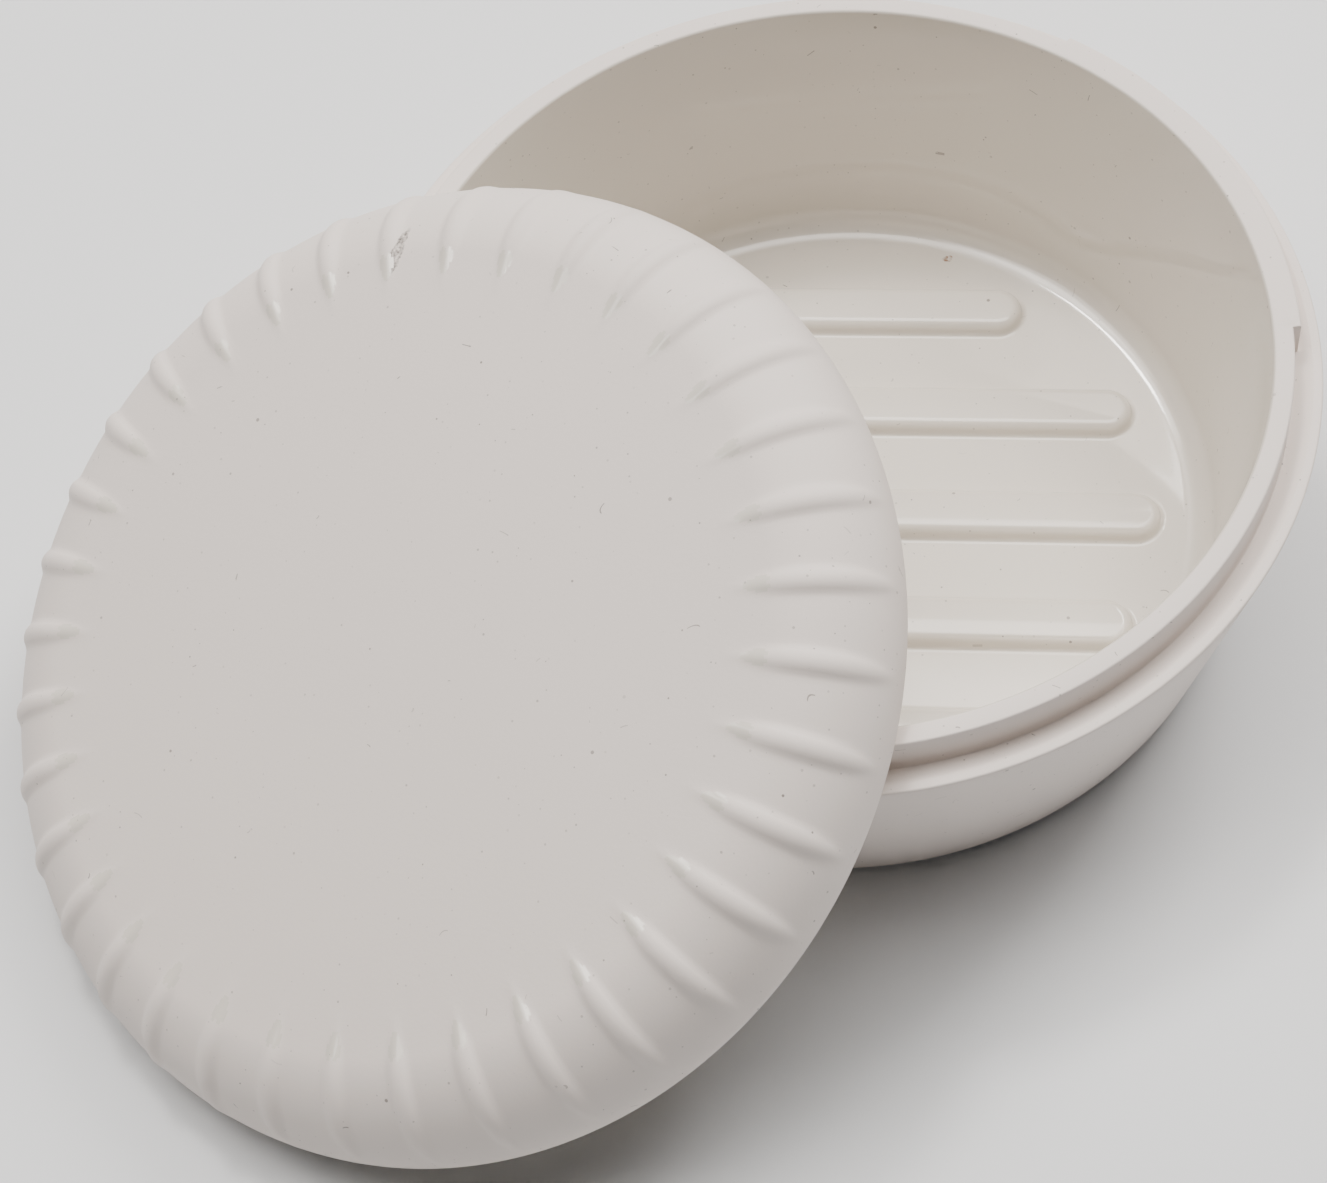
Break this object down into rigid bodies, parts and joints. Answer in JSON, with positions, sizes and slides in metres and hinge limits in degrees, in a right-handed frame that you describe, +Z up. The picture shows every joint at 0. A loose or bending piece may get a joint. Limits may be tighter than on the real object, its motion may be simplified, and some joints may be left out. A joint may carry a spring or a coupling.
{
  "type": "travel soap box",
  "caption": "Round off-white soap box for travel: a tapered bowl with raised soap ribs and a stepped neck, and a domed lid with radial ridges leaning on its rim.",
  "frame": {"origin": "centre of the bowl's flat underside, on the surface that it stands on", "axes": "+Z up along the bowl's axis; +X along the soap ribs; the lid leans off the bowl between -X and -Y"},
  "size_m": [0.1283, 0.1238, 0.0487],
  "materials": {
    "bioplastic": "matte off-white, slightly glossier inside the bowl, with sparse dark specks"
  },
  "bodies": {
    "base": {"base": "bioplastic"},
    "lid": {"lid": "bioplastic"}
  },
  "joints": [
    {"name": "lid_lift", "type": "slide", "parent": "base", "child": "lid", "axis": [0, 0, 1], "range_m": [0, 0.045]}
  ]
}
